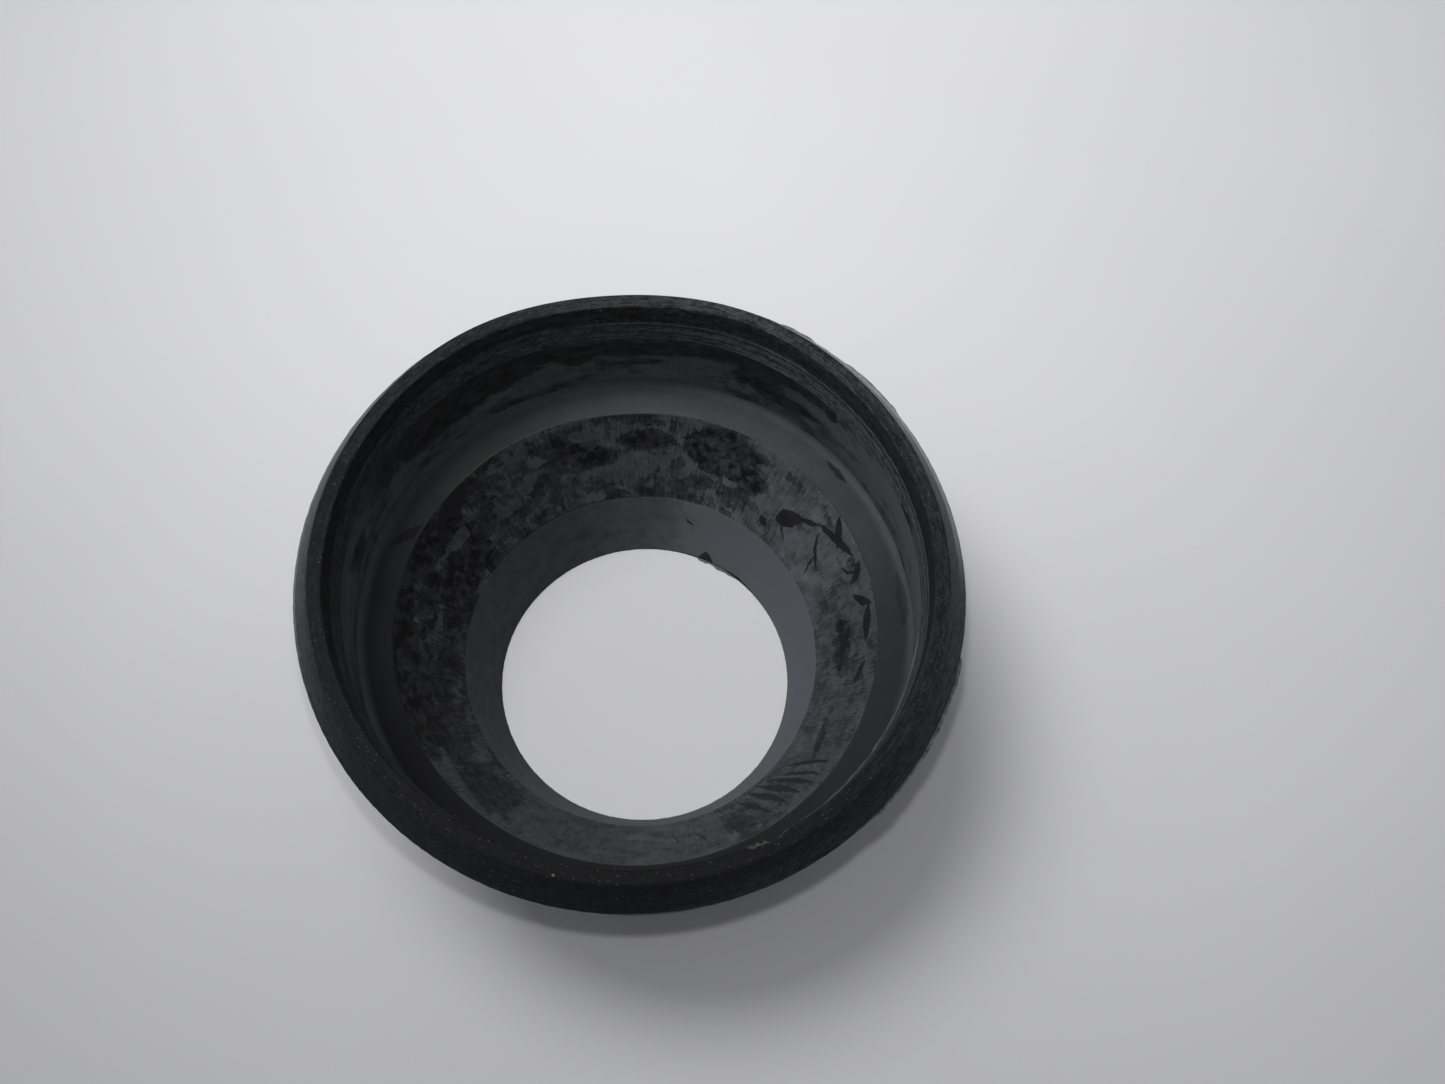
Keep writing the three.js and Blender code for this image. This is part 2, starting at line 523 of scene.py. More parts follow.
def level_round(levels, angle, down=0.0):
    """Eases from each angle's level to the next one's, and from the last back to the first."""
    levels = [(row[0], row[1] + (row[-1] - row[1]) * down) for row in levels]
    closed = levels + [(levels[0][0] + 360, levels[0][1])]
    for (a0, v0), (a1, v1) in zip(closed, closed[1:]):
        if a0 <= angle <= a1:
            return v0 + (v1 - v0) * ease(angle, a0, a1)
    return levels[0][1]


def band_of(station):
    return next(name for name, (start, end) in BANDS.items() if station <= AT[end] + CUT_TOLERANCE)


def smudge_at(place, angle, station, band):
    """How much film the smudges take off at a place. Below 0 they leave more."""
    total = 0
    radius = hypot(place.x, place.y) / MM
    start, end = (AT[i] for i in BANDS[band])
    for middle, share, long, wide, tilt, strength in SMUDGES.get(band, []):
        turn = apart(angle, middle)
        if abs(turn) < SMUDGE_REACH:
            u = radians(turn) * radius
            v = (station - start - share * (end - start)) / MM
            c, s = cos(radians(tilt)), sin(radians(tilt))
            reach = hypot((u * c + v * s) / long, (v * c - u * s) / wide)
            total += strength * max(0, 1 - 0.5 * reach * reach)
    return total


print(f"wear on the seat at 140 degrees: {level_round(WORN['seat'], 140):.2f}")

# %% Write the film's state on every point
def write_values(name, values):
    mesh.attributes.new(name, "FLOAT", "POINT").data.foreach_set("value", values)
    print(f"{name}: {min(values):.2f} to {max(values):.2f}")


angles = [around(place) for place in places]
bands = [band_of(station) for station in stations]
worn = [level_round(WORN[band], angle) for band, angle in zip(bands, angles)]
rubbed_off = [smudge_at(*spot) for spot in zip(places, angles, stations, bands)]
write_values("bare", [level + smudge for level, smudge in zip(worn, rubbed_off)])
limits = [(AT[BANDS[band][0]], AT[BANDS[band][1]]) for band in bands]
shares = [(station - start) / (end - start) for station, (start, end) in zip(stations, limits)]
write_values("chalk_and_light", [level_round(CHALK_AND_LIGHT[band], *spot) for band, spot in zip(bands, zip(angles, shares))])

# %% [markdown]
# ## A short way to write node trees
# Every finish here is a node tree, and a tree written with links.new alone is hard to read. One helper adds
# a node, sets its options and fills its sockets, with a value or with another node's output.

# %% Node helpers
def add(tree, kind, sockets=None, **options):
    node = tree.nodes.new(kind)
    for name, value in options.items():
        setattr(node, name, value)              # a group's sockets appear once its node_tree is set
    for key, value in (sockets or {}).items():
        if isinstance(value, bpy.types.NodeSocket):
            tree.links.new(value, node.inputs[key])
        else:
            node.inputs[key].default_value = value
    return node


def maths(tree, operation, a, b=0.0):
    """The output of a Math node."""
    return add(tree, "ShaderNodeMath", {0: a, 1: b}, operation=operation).outputs[0]


def lay_over(tree, share, below, above):
    """The colour above laid over the one below, as thickly as share says."""
    return add(tree, "ShaderNodeMix", {0: share, 6: below, 7: above}, data_type="RGBA").outputs[2]


def climb(tree, value, low, high, start=0.0, end=1.0):
    """Eases from start to end as the value goes from low to high."""
    sockets = {"Value": value, "From Min": low, "From Max": high, "To Min": start, "To Max": end}
    return add(tree, "ShaderNodeMapRange", sockets, interpolation_type="SMOOTHSTEP").outputs["Result"]


def clouds(tree, place, detail=3.0, rough=0.55, twist=0.0):
    sockets = {"Vector": place, "Scale": 1.0, "Detail": detail, "Roughness": rough, "Distortion": twist}
    return add(tree, "ShaderNodeTexNoise", sockets).outputs["Fac"]


def attribute(tree, name):
    return add(tree, "ShaderNodeAttribute", attribute_name=name).outputs["Fac"]


def new_group(name, inputs, outputs):
    """An empty shader node group. Inputs map a name to its default number."""
    group = bpy.data.node_groups.new(name, "ShaderNodeTree")
    for title, default in inputs.items():
        socket = group.interface.new_socket(title, in_out="INPUT", socket_type="NodeSocketFloat")
        socket.default_value = default
    for title, kind in outputs.items():
        group.interface.new_socket(title, in_out="OUTPUT", socket_type=f"NodeSocket{kind}")
    return group, group.nodes.new("NodeGroupInput").outputs, group.nodes.new("NodeGroupOutput").inputs


def use(tree, group, **sockets):
    """Places a node group in a tree with its own values, and gives its outputs."""
    named = {key.replace("_", " "): value for key, value in sockets.items()}
    return add(tree, "ShaderNodeGroup", named, node_tree=group).outputs


print("node helpers ready")

# %% [markdown]
# ## Coordinates that unroll the ring
# Wipes and drips run round the ring or down its section, so their noise has to be stretched that way. Plain
# Object coordinates can't be, since the way round turns with the angle. This group makes a place from the
# direction out from the axis, which has no seam, and the distance along the section. Its inputs say how
# long a mark is round the ring and down the section, in millimetres.

# %% Group: unrolled place
MEAN_RADIUS = 0.75 * RIM_RADIUS

unrolled, given, result = new_group(
    "unrolled_place", {"Round": 1.0, "Down": 1.0, "Seed": 0.0}, {"Place": "Vector"})
object_place = add(unrolled, "ShaderNodeTexCoord").outputs["Object"]
flat = add(unrolled, "ShaderNodeVectorMath", {0: object_place, 1: (1, 1, 0)}, operation="MULTIPLY").outputs[0]
outward = add(unrolled, "ShaderNodeVectorMath", {0: flat}, operation="NORMALIZE").outputs[0]
turns = maths(unrolled, "DIVIDE", MEAN_RADIUS / MM, given["Round"])
ringwise = add(unrolled, "ShaderNodeVectorMath", {0: outward, "Scale": turns}, operation="SCALE").outputs[0]
millimetres = maths(unrolled, "MULTIPLY", attribute(unrolled, "along"), 1 / MM)
down = maths(unrolled, "ADD", maths(unrolled, "DIVIDE", millimetres, given["Down"]), given["Seed"])
downwards = add(unrolled, "ShaderNodeCombineXYZ", {"Z": down}).outputs[0]
placed = add(unrolled, "ShaderNodeVectorMath", {0: ringwise, 1: downwards}, operation="ADD").outputs[0]
unrolled.links.new(placed, result["Place"])


def spread(tree, round_mm, down_mm, seed):
    return use(tree, unrolled, Round=round_mm, Down=down_mm, Seed=seed)["Place"]


print(f"unrolled about a radius of {MEAN_RADIUS / MM:.1f} mm")

# %% [markdown]
# ## The bloom film
# The film breaks up like old whitewash: in soft clouds where it was rubbed, in hard-edged chips where it was
# picked off. One threshold gives both. The level painted on the mesh is shifted by noise of three sizes and
# by a random number for each chip, and where the sum passes a half the film is gone, but for a residue. A
# second output says how thick the film is where it is left, with hatching where it was wiped one way.

# %% Group: bloom film
film_group, given, result = new_group(
    "bloom_film",
    {"Bare": 0.2, "Fray": 0.4, "Chips": 0.3, "Soft": 0.05, "Residue": 0.3, "Mottle": 0.8, "Hatch": 0.3,
     "Round": 2.0, "Down": 2.0, "Hatch round": 0.4, "Hatch down": 3.0, "Seed": 0.0},
    {"Film": "Float", "Tone": "Float"},
)


def film_place(size, seed):
    round_mm = maths(film_group, "MULTIPLY", given["Round"], size)
    down_mm = maths(film_group, "MULTIPLY", given["Down"], size)
    return spread(film_group, round_mm, down_mm, maths(film_group, "ADD", given["Seed"], seed))


def film_clouds(place, detail, twist):
    return maths(film_group, "SUBTRACT", clouds(film_group, place, detail, 0.62, twist), 0.5)


rubbed = film_clouds(film_place(2.2, 3.1), 4.0, 0.4)
scuffed_place = film_place(0.6, 17.7)
scuffed = film_clouds(scuffed_place, 5.0, 0.35)
warp = add(film_group, "ShaderNodeCombineXYZ", {"X": scuffed, "Y": rubbed, "Z": scuffed}).outputs[0]
warped = add(film_group, "ShaderNodeVectorMath", {0: scuffed_place, 1: warp}, operation="ADD").outputs[0]
cells = add(film_group, "ShaderNodeTexVoronoi", {"Vector": warped, "Scale": 0.9}).outputs["Color"]
chip = maths(film_group, "SUBTRACT", add(film_group, "ShaderNodeSeparateColor", {0: cells}).outputs[0], 0.5)
hatch_place = spread(film_group, given["Hatch round"], given["Hatch down"], given["Seed"])
hatch = maths(film_group, "MULTIPLY", film_clouds(hatch_place, 3.0, 0.2), given["Hatch"])
fray = maths(film_group, "MULTIPLY", given["Fray"], maths(film_group, "ADD", rubbed, scuffed))
loss = maths(film_group, "ADD", fray, maths(film_group, "MULTIPLY", given["Chips"], chip))
level = maths(film_group, "ADD", given["Bare"], maths(film_group, "SUBTRACT", loss, hatch))
blur = maths(film_group, "MULTIPLY", given["Soft"], climb(film_group, rubbed, -0.12, 0.12, 0.3, 2.2))
low = maths(film_group, "SUBTRACT", 0.5, blur)
high = maths(film_group, "ADD", 0.5, blur)
whole = climb(film_group, level, low, high, 1.0, 0.0)
left_over = maths(film_group, "MULTIPLY", climb(film_group, scuffed, -0.12, 0.16), given["Residue"])
film_group.links.new(maths(film_group, "MAXIMUM", whole, left_over), result["Film"])
mottle = maths(film_group, "MULTIPLY", film_clouds(film_place(1.1, 41.3), 6.0, 0.2), given["Mottle"])
swing = maths(film_group, "MULTIPLY", maths(film_group, "ADD", mottle, hatch), 2.0)
tone = maths(film_group, "ADD", swing, 1.0)
film_group.links.new(maths(film_group, "MAXIMUM", tone, 0.0), result["Tone"])
print("bloom film group made")

# %% [markdown]
# ## Sectors, corner lines, grain and specks
# Four small effects. A sector is a mask for part of the way round, so that a mark can stay on one side. A
# corner line is a thin pale or dark line along a corner; some stand for rubbed or clean rubber and for dust,
# and some are painted highlight or painted shade. It knows its corner by the distance along the section, so
# it is as sharp as the shader makes it and not as coarse as the mesh. Grain is the fine pitting of moulded
# rubber, and specks are the dust that is caught in it.

# %% Group: sector
FADING = 0.45                            # the share of a sector's reach over which it fades out
NOWHERE = 1e6                            # so long down the section that the section drops out

sector_group, given, result = new_group("sector", {"Middle": 0.0, "Reach": 180.0}, {"Inside": "Float"})
middle = maths(sector_group, "RADIANS", given["Middle"])
heading = add(sector_group, "ShaderNodeCombineXYZ", {"X": maths(sector_group, "COSINE", middle),
                                                     "Y": maths(sector_group, "SINE", middle)}).outputs[0]
here = spread(sector_group, MEAN_RADIUS / MM, NOWHERE, 0.0)
facing = add(sector_group, "ShaderNodeVectorMath", {0: here, 1: heading}, operation="DOT_PRODUCT")
arc = maths(sector_group, "ARCCOSINE", maths(sector_group, "MINIMUM", facing.outputs["Value"], 1.0))
away = maths(sector_group, "DEGREES", arc)
fading = maths(sector_group, "MULTIPLY", given["Reach"], FADING)
inner = maths(sector_group, "SUBTRACT", given["Reach"], fading)
sector_group.links.new(climb(sector_group, away, inner, given["Reach"], 1.0, 0.0), result["Inside"])
print("sector group made")

# %% Group: corner line
line_group, given, result = new_group(
    "corner_line",
    {"Station": 0.0, "Half": 0.2, "Broken": 0.5, "Middle": 0.0, "Reach": 200.0},
    {"Line": "Float"})
here = maths(line_group, "MULTIPLY", attribute(line_group, "along"), 1 / MM)
from_corner = maths(line_group, "ABSOLUTE", maths(line_group, "SUBTRACT", here, given["Station"]))
wander = clouds(line_group, spread(line_group, 1.6, 0.6, 23.0), 3.0)
width = maths(line_group, "MULTIPLY", given["Half"], maths(line_group, "ADD", wander, 0.5))
line = climb(line_group, from_corner, maths(line_group, "MULTIPLY", width, 0.3), width, 1.0, 0.0)
kept = maths(line_group, "SUBTRACT", wander, maths(line_group, "MULTIPLY", given["Broken"], 0.6))
line = maths(line_group, "MULTIPLY", line, climb(line_group, kept, 0.05, 0.25))
inside = use(line_group, sector_group, Middle=given["Middle"], Reach=given["Reach"])["Inside"]
line_group.links.new(maths(line_group, "MULTIPLY", line, inside), result["Line"])
print("corner line group made")

# %% Groups: grain and specks
SPECK_CELL = 3.5                         # one speck's cell is this many times its size across

grain_group, given, result = new_group("rubber_grain", {"Pitting": 1.0}, {"Height": "Float"})
fine = clouds(grain_group, spread(grain_group, 0.25, 0.25, 5.0), 2.0, 0.6)
coarse = clouds(grain_group, spread(grain_group, 1.1, 0.8, 9.0), 3.0, 0.5)
pitted = maths(grain_group, "ADD", maths(grain_group, "MULTIPLY", fine, given["Pitting"]), coarse)
grain_group.links.new(pitted, result["Height"])

speck_group, given, result = new_group(
    "dust_specks", {"Size": 0.1, "Share": 0.1, "Seed": 0.0}, {"Specks": "Float"})
cell = maths(speck_group, "MULTIPLY", given["Size"], SPECK_CELL)
cell_place = spread(speck_group, cell, cell, given["Seed"])
dots = add(speck_group, "ShaderNodeTexVoronoi", {"Vector": cell_place, "Scale": 1.0}).outputs
lot = add(speck_group, "ShaderNodeSeparateColor", {0: dots["Color"]}).outputs[0]
chosen = maths(speck_group, "LESS_THAN", lot, given["Share"])
brightness = maths(speck_group, "DIVIDE", lot, given["Share"])
dot = climb(speck_group, dots["Distance"], 0.16, 0.32, 1.0, 0.0)
speck = maths(speck_group, "MULTIPLY", maths(speck_group, "MULTIPLY", chosen, brightness), dot)
speck_group.links.new(speck, result["Specks"])
print("grain and speck groups made")

# %% [markdown]
# ## Chips in the film
# On the seat the film was also picked off cleanly, by the foot of a funnel that was pushed in at a slant.
# Those chips are leaf-shaped, with sharp edges and two tips, and some are bent like a scratch. They are finer
# than the mesh, so each is drawn by the shader: a leaf has a middle, a direction and a length, its width
# falls to nothing at both tips, and its spine is bowed.

# %% Group: film chip
RAGGED = 1.1                             # how far the edge wanders, in millimetres
EDGE_IN, EDGE_OUT = -0.07, 0.05          # the edge is this soft, in millimetres

chip_group, given, result = new_group(
    "film_chip",
    {"Angle": 0.0, "Station": 0.0, "Radius": 30.0, "Half": 2.0, "Wide": 0.5, "Tilt": 0.0, "Bow": 0.0,
     "Skew": 0.0},
    {"Chip": "Float"})
object_place = add(chip_group, "ShaderNodeTexCoord").outputs["Object"]
here = add(chip_group, "ShaderNodeSeparateXYZ", {0: object_place}).outputs
bearing = maths(chip_group, "ARCTAN2", here["Y"], here["X"])
turn = maths(chip_group, "SUBTRACT", bearing, maths(chip_group, "RADIANS", given["Angle"]))
turn = add(chip_group, "ShaderNodeMath", {0: turn, 1: pi, 2: -pi}, operation="WRAP").outputs[0]
across = maths(chip_group, "MULTIPLY", turn, given["Radius"])
station = maths(chip_group, "MULTIPLY", attribute(chip_group, "along"), 1 / MM)
below = maths(chip_group, "SUBTRACT", station, given["Station"])
tilt = maths(chip_group, "RADIANS", given["Tilt"])
cosine, sine = maths(chip_group, "COSINE", tilt), maths(chip_group, "SINE", tilt)
lengthways = maths(chip_group, "ADD", maths(chip_group, "MULTIPLY", across, cosine),
                   maths(chip_group, "MULTIPLY", below, sine))
sideways = maths(chip_group, "SUBTRACT", maths(chip_group, "MULTIPLY", below, cosine),
                 maths(chip_group, "MULTIPLY", across, sine))
share = maths(chip_group, "DIVIDE", lengthways, given["Half"])
taper = maths(chip_group, "SUBTRACT", 1.0, maths(chip_group, "MULTIPLY", share, share))
belly = maths(chip_group, "ADD", maths(chip_group, "MULTIPLY", share, given["Skew"]), 1.0)
belly = maths(chip_group, "MAXIMUM", belly, 0.0)
width = maths(chip_group, "MULTIPLY", maths(chip_group, "MULTIPLY", taper, belly), given["Wide"])
ragged = maths(chip_group, "SUBTRACT", clouds(chip_group, spread(chip_group, 1.2, 1.2, 61.0), 4.0, 0.6), 0.5)
spine = maths(chip_group, "ADD", maths(chip_group, "MULTIPLY", taper, given["Bow"]),
              maths(chip_group, "MULTIPLY", ragged, RAGGED))
from_spine = maths(chip_group, "ABSOLUTE", maths(chip_group, "SUBTRACT", sideways, spine))
past_tip = maths(chip_group, "LESS_THAN", taper, 0.0)
outside_leaf = maths(chip_group, "ADD", maths(chip_group, "SUBTRACT", from_spine, width), past_tip)
chip_group.links.new(climb(chip_group, outside_leaf, EDGE_IN, EDGE_OUT, 1.0, 0.0), result["Chip"])
print("film chip group made")

# %% [markdown]
# ## The finishes
# All of the ring is the same black rubber under the same film, but each part of it was used in its own way:
# the rim was handled and has dust in its pits, the seat was pressed on by a funnel, and the wall, the ledge
# and the throat were hardly touched. So one function builds a finish, and each part is given its own wear.
# Rubber shines weakly, and the film hardly at all. Only the outer edge has a sheen, because the fine dust on
# it glows where it is seen at a low angle.

# %% Colours of the rubber, the film, the dirt and a painted highlight
BLACK = (0.0058, 0.0060, 0.0068, 1)
BROWNED = (0.0072, 0.0067, 0.0064, 1)    # bare rubber that light has turned a little brown
THIN_FILM = (0.0088, 0.0092, 0.0104, 1)
THICK_FILM = (0.115, 0.121, 0.135, 1)
FULL_CHALK_AND_LIGHT = 0.75                        # how near the thickest film a level of 1 comes; the level is chalk and painted light together
# dust colour; as the pale line along the parting edge it is also a painted highlight
DUST_AND_HIGHLIGHT = (0.15, 0.14, 0.125, 1)
PAINTED_EDGE_HIGHLIGHT = (0.36, 0.37, 0.38, 1)           # painted highlight along the sharp outer edge, almost white
WAX = (0.075, 0.068, 0.045, 1)           # a thin yellowish line of dried grease
RUST = (0.30, 0.14, 0.045, 1)
print(f"the thickest film is {THICK_FILM[0] / BLACK[0]:.0f} times as bright as the bare rubber")

# %% Chips, listed one by one
CHIPS = {  # angle and share of both tips, width and bow in mm, skew, depth
    "outside": [
        (262.0, 0.62, 248.0, 0.70, 1.6, 0.8, 0.2, 0.8), (300.0, 0.74, 296.0, 0.60, 0.7, 0.4, 0.0, 0.8),
        (222.0, 0.55, 219.0, 0.78, 0.8, 0.6, 0.0, 0.8), (20.0, 0.66, 3.0, 0.60, 1.2, 1.0, 0.0, 0.8),
        (75.0, 0.72, 62.0, 0.76, 1.8, 0.4, 0.3, 0.8), (128.0, 0.60, 121.0, 0.74, 0.8, 1.2, 0.0, 0.8),
        (176.0, 0.74, 158.0, 0.69, 1.4, 0.8, 0.0, 0.8), (335.0, 0.58, 326.0, 0.62, 1.0, 0.5, 0.0, 0.8),
    ],
    "ledge": [
        (163, 0.15, 155, 0.9, 1.6, 0.3, 0.0, 0.7), (45, 0.03, 37.5, 0.06, 0.9, 0.0, 0.2, 0.8),
        (14, 0.0, 1, 0.04, 1.6, 0.0, 0.0, 0.45),
    ],
    "seat": [
        (46.3, 0.68, 38.0, 0.40, 3.0, -0.2, 0.4, 0.85), (39.5, 0.44, 34.0, 0.30, 1.0, 0.0, 0.3, 0.85),
        (44.5, 0.60, 39.5, 0.82, 0.5, 0.3, 0.0, 0.85), (51.0, 0.76, 47.4, 0.84, 1.3, 0.0, 0.3, 0.85),
        (35.5, 0.30, 21.0, 0.10, 1.5, 0.3, -0.2, 0.85), (32.0, 0.00, 25.5, 0.28, 1.4, 0.0, 0.0, 0.85),
        (33.4, 0.36, 24.6, 0.68, 0.7, 0.6, 0.0, 0.85), (19.5, 0.06, 15.2, 0.30, 1.5, -0.5, 0.0, 0.85),
        (21.0, 0.34, 17.0, 0.12, 0.6, 0.5, 0.0, 0.85), (12.5, 0.30, 7.8, 0.05, 1.3, 0.3, 0.0, 0.85),
        (8.4, 0.08, 358.5, 0.20, 1.8, 0.3, 0.1, 0.85), (5.0, 0.42, 355.0, 0.60, 1.9, 0.3, 0.0, 0.85),
        (354.0, 0.18, 347.0, 0.30, 1.0, 0.2, 0.0, 0.85), (29.0, 0.52, 27.4, 0.86, 0.4, 0.3, 0.0, 0.85),
        (157.0, 0.32, 138.5, 0.04, 4.0, -0.6, 0.2, 0.75), (149.0, 0.62, 141.0, 0.50, 1.2, 0.4, 0.0, 0.6),
        (325.5, 0.12, 320.5, 0.86, 0.8, 0.5, 0.1, 0.85), (322.0, 0.08, 317.0, 0.84, 0.7, 0.5, 0.2, 0.85),
        (319.0, 0.10, 314.0, 0.95, 1.0, 0.5, 0.2, 0.85), (315.4, 0.16, 311.0, 0.98, 1.3, 0.4, 0.3, 0.85),
        (311.5, 0.20, 307.6, 0.95, 1.4, 0.4, 0.0, 0.85), (307.0, 0.24, 303.4, 0.90, 1.2, 0.3, 0.0, 0.85),
        (290.0, 0.30, 287.0, 0.62, 0.6, 0.5, 0.0, 0.85), (283.0, 0.40, 281.5, 0.70, 0.4, 0.3, 0.0, 0.85),
    ],
    "throat": [
        (68.5, 1.0, 61.6, 1.0, 4.4, 0.0, 0.3, 0.85), (58.0, 1.0, 44.0, 0.97, 1.0, 0.0, 0.0, 0.85),
        (76.0, 0.30, 72.0, 0.42, 0.5, 0.2, 0.0, 0.85),
    ],
}


def millimetres_along(band, share):
    """The distance along the section part of the way down a band."""
    start, end = (AT[i] for i in BANDS[band])
    return (start + share * (end - start)) / MM


def radius_at(millimetres):
    """The radius in millimetres at a distance along the section."""
    station = millimetres * MM
    side = next(i for i in range(THROAT_EDGE) if station <= AT[i + 1] + CUT_TOLERANCE)
    down = (station - AT[side]) / side_length(side)
    return (corners[side][0] + (corners[side + 1][0] - corners[side][0]) * down) / MM


def film_left(tree, film, band):
    """The film less the chips of a band."""
    for angle0, share0, angle1, share1, wide, bow, skew, depth in CHIPS.get(band, []):
        station0, station1 = millimetres_along(band, share0), millimetres_along(band, share1)
        middle = (station0 + station1) / 2
        turn = apart(angle0, angle1)
        radius = radius_at(middle)
        run, drop = radians(turn) * radius, station0 - station1
        leaf = use(tree, chip_group, Angle=angle1 + turn / 2, Station=middle, Radius=radius,
                   Half=hypot(run, drop) / 2, Wide=wide / 2, Tilt=degrees(atan2(drop, run)),
                   Bow=bow, Skew=skew)["Chip"]
        kept = maths(tree, "SUBTRACT", 1.0, maths(tree, "MULTIPLY", leaf, depth))
        film = maths(tree, "MINIMUM", film, kept)
    return film


print({band: len(chips) for band, chips in CHIPS.items()}, "chips")

# %% Build a rubber finish
SPECK_SIZE, CRUMB_SIZE = 0.085, 0.2      # millimetres
DUST_COVER = 0.6
BARE_ROUGHNESS, FILM_ROUGHNESS = 0.5, 0.75
SHEEN_ROUGHNESS = 0.22
FILM_STEP = 0.4                          # height of the film's edge, against the grain's
GRAIN_DEPTH, BUMP_STRENGTH = 0.05 * MM, 0.4


def paint_lines(tree, colour, lines):
    """A line is its station, half-width in mm, breaks, strength, colour, middle angle and reach."""
    for station, half, broken, strength, paint, middle, reach in lines:
        line = use(tree, line_group, Station=station / MM, Half=half, Broken=broken, Middle=middle,
                   Reach=reach)["Line"]
        colour = lay_over(tree, maths(tree, "MULTIPLY", line, strength), colour, paint)
    return colour


def film_wear(fray, chips, soft, residue, mottle, hatch, size, hatching):
    """The film group's values. Size and hatching are lengths in mm, round the ring and down the section."""
    return {"Fray": fray, "Chips": chips, "Soft": soft, "Residue": residue, "Mottle": mottle, "Hatch": hatch,
            "Round": size[0], "Down": size[1], "Hatch_round": hatching[0], "Hatch_down": hatching[1]}


def rubber(name, wear, specks=0.01, shine=0.08, sheen=0.0, pitting=1.0, seed=0.0, lines=(), crumbs=(),
           chipped=None):
    """A bloomed rubber finish. Specks is the share of dust, and chipped is the band with its chips."""
    material = bpy.data.materials.new(name)
    material.use_nodes = True
    tree = material.node_tree
    shader = tree.nodes["Principled BSDF"]
    film = use(tree, film_group, Bare=attribute(tree, "bare"), Seed=seed, **wear)
    whole = film_left(tree, film["Film"], chipped)
    browning = climb(tree, clouds(tree, spread(tree, 6.0, 4.0, seed + 50), 3.0), 0.42, 0.62)
    bare_colour = lay_over(tree, browning, BLACK, BROWNED)
    # The chalk level carries painted light and shade as well as the film's own chalk.
    chalk_and_light = maths(tree, "MULTIPLY", attribute(tree, "chalk_and_light"), FULL_CHALK_AND_LIGHT)
    film_paleness_and_light = maths(tree, "MULTIPLY", chalk_and_light, film["Tone"])
    film_colour = lay_over(tree, film_paleness_and_light, THIN_FILM, THICK_FILM)
    colour = lay_over(tree, whole, bare_colour, film_colour)
    colour = paint_lines(tree, colour, lines)
    dust = use(tree, speck_group, Size=SPECK_SIZE, Share=specks, Seed=seed)["Specks"]
    colour = lay_over(tree, maths(tree, "MULTIPLY", dust, DUST_COVER), colour, DUST_AND_HIGHLIGHT)
    for middle, reach, share, paint in crumbs:
        crumb = use(tree, speck_group, Size=CRUMB_SIZE, Share=share, Seed=seed + middle)["Specks"]
        inside = use(tree, sector_group, Middle=middle, Reach=reach)["Inside"]
        colour = lay_over(tree, maths(tree, "MULTIPLY", crumb, inside), colour, paint)
    tree.links.new(colour, shader.inputs["Base Color"])
    roughness = climb(tree, whole, 0.0, 1.0, BARE_ROUGHNESS, FILM_ROUGHNESS)
    tree.links.new(roughness, shader.inputs["Roughness"])
    shader.inputs["Specular IOR Level"].default_value = shine
    shader.inputs["Sheen Weight"].default_value = sheen
    shader.inputs["Sheen Roughness"].default_value = SHEEN_ROUGHNESS
    grain = use(tree, grain_group, Pitting=pitting)["Height"]
    height = maths(tree, "ADD", grain, maths(tree, "MULTIPLY", whole, FILM_STEP))
    bump = add(tree, "ShaderNodeBump", {"Height": height, "Strength": BUMP_STRENGTH, "Distance": GRAIN_DEPTH})
    tree.links.new(bump.outputs["Normal"], shader.inputs["Normal"])
    return material


print("ready to build finishes")

# %% [markdown]
# ## The outside and the rim
# The outside was gripped and turned, so its wear runs round it, with a few scratches. The rim has the
# coarsest pits and the most dust. Its chamfer is a finish of its own, since only that edge has the sheen and
# a painted highlight along it. Inside the mouth, thin black and pale lines follow the turned rings.

# %% Finishes of the outside and the rim
RIM_WEAR = film_wear(1.6, 0.3, 0.1, 0.45, 1.7, 1.3, (0.9, 0.5), (12.0, 0.16))
RIM_FINISH = {"specks": 0.22, "shine": 0.05, "pitting": 2.4, "seed": 100.0}
RING_LINES = (  # millimetres below the step, half-width, strength, colour
    (0.1, 0.16, 0.7, BLACK), (0.5, 0.12, 0.3, DUST_AND_HIGHLIGHT), (1.0, 0.2, 0.8, BLACK), (1.9, 0.1, 0.22, DUST_AND_HIGHLIGHT),
    (2.5, 0.16, 0.6, BLACK), (3.5, 0.12, 0.5, BLACK),
)


# The pale line along the parting edge is partly dust on the flash and partly painted highlight.
def outer_skin():
    return rubber("outer_skin", film_wear(1.0, 0.12, 0.14, 0.45, 0.9, 0.6, (7.0, 3.6), (9.0, 0.35)),
                  specks=0.1, pitting=1.6, chipped="outside",
                  lines=[(AT[PARTING], 0.3, 0.5, 0.35, DUST_AND_HIGHLIGHT, 0, 200)])


def rim_edge():
    """The outside chamfer. Its film glows at a low angle, and a painted highlight runs along its sharp edge
    on two sides.
    """
    # painted highlights along the chamfer's outer edge, on the right and on the left
    painted_highlights = [(AT[PARTING] + 0.9 * MM, 1.6, 0.15, 0.5, PAINTED_EDGE_HIGHLIGHT, 34, 38),
            (AT[PARTING] + 0.4 * MM, 0.6, 0.35, 0.35, PAINTED_EDGE_HIGHLIGHT, 166, 36)]
    return rubber("rim_edge", RIM_WEAR, sheen=0.28, lines=painted_highlights, **RIM_FINISH)


